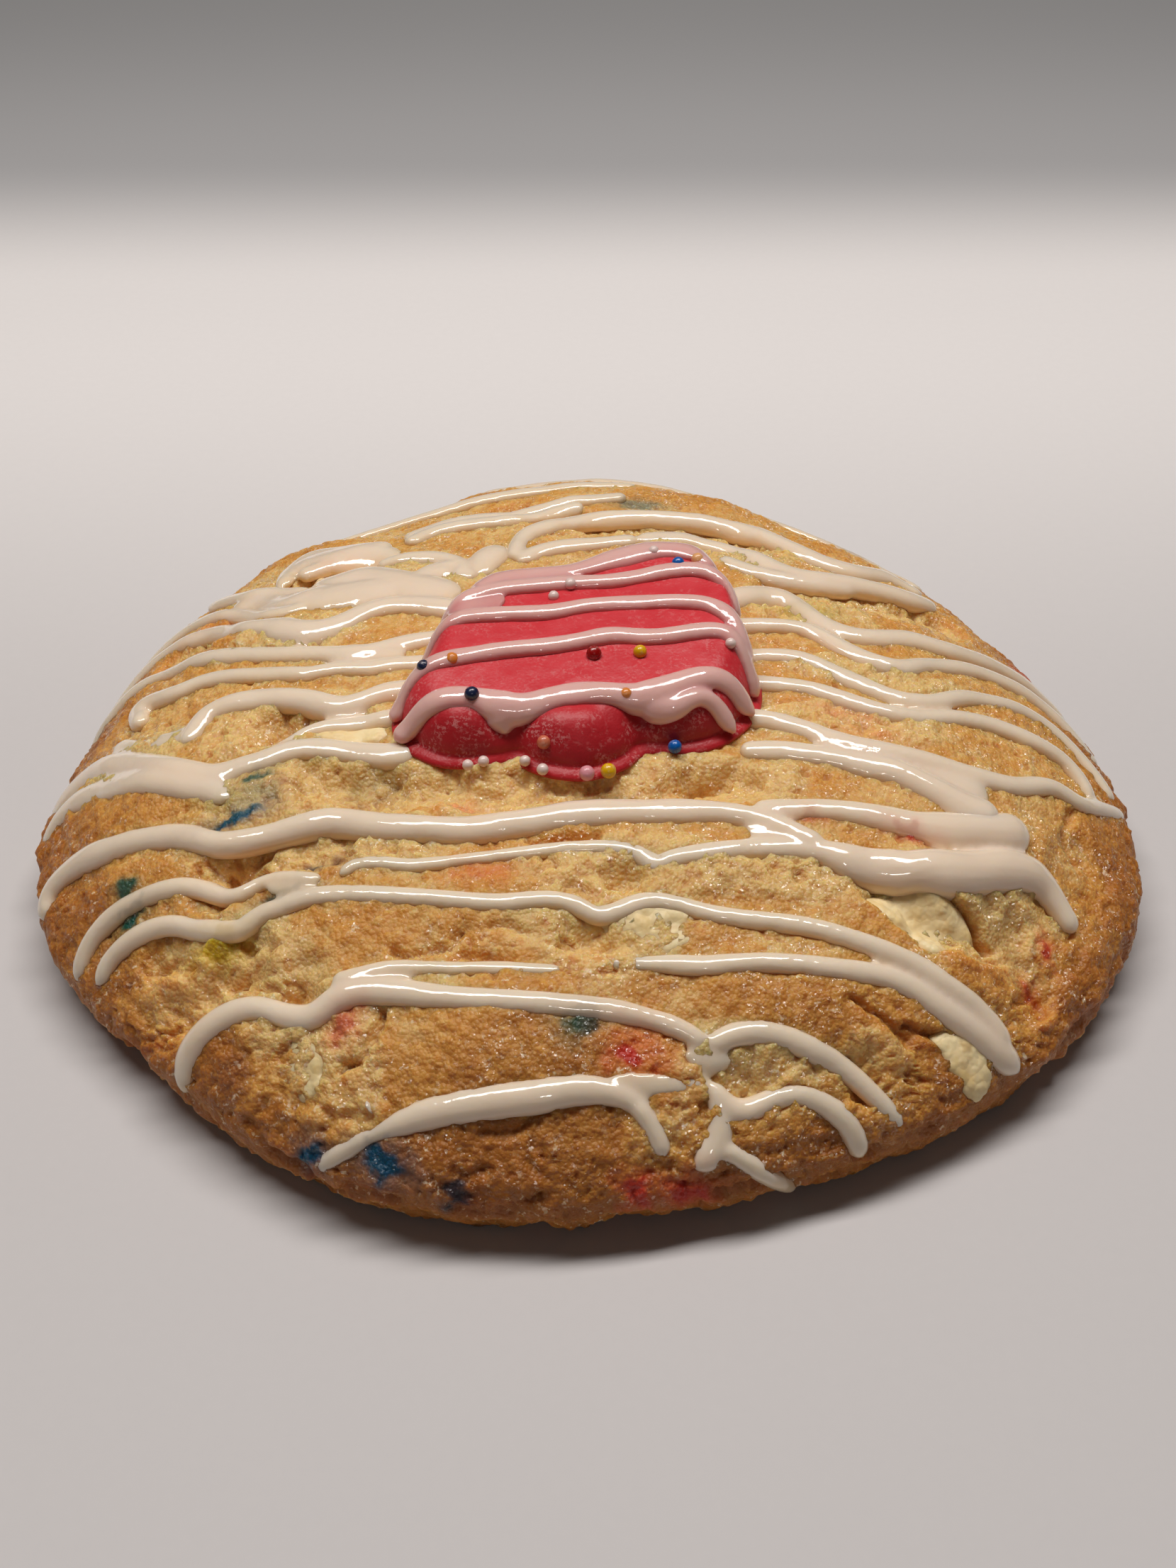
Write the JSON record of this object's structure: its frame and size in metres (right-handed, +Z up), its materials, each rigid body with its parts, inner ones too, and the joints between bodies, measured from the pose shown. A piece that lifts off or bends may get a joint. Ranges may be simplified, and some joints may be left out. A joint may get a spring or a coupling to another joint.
{
  "type": "birthday cake cookie",
  "caption": "Round soft baked cookie with a domed craggy top, drizzled white icing, white chocolate chunks and a pink frosted animal biscuit pressed into the middle.",
  "frame": {"origin": "middle of the bounding box, at the flat base the cookie lies on", "axes": "+Z up through the dome, -Y towards the side the picture was taken from, +X to the right as seen from that side"},
  "size_m": [0.1006, 0.1026, 0.0283],
  "materials": {
    "baked_dough": "baked soft cookie dough, golden brown on the mounds and pale in the cracks, with glossy white icing fused on",
    "pink_frosting": "set pink frosting with a dry white bloom, with glossy icing and sugar balls fused on",
    "white_chocolate": "satin white chocolate"
  },
  "bodies": {
    "root": {"cookie": "baked_dough", "pink_biscuit": "pink_frosting", "white_chunk_1": "white_chocolate", "white_chunk_2": "white_chocolate", "white_chunk_3": "white_chocolate", "white_chunk_4": "white_chocolate", "white_chunk_5": "white_chocolate", "white_chunk_6": "white_chocolate"}
  },
  "joints": []
}
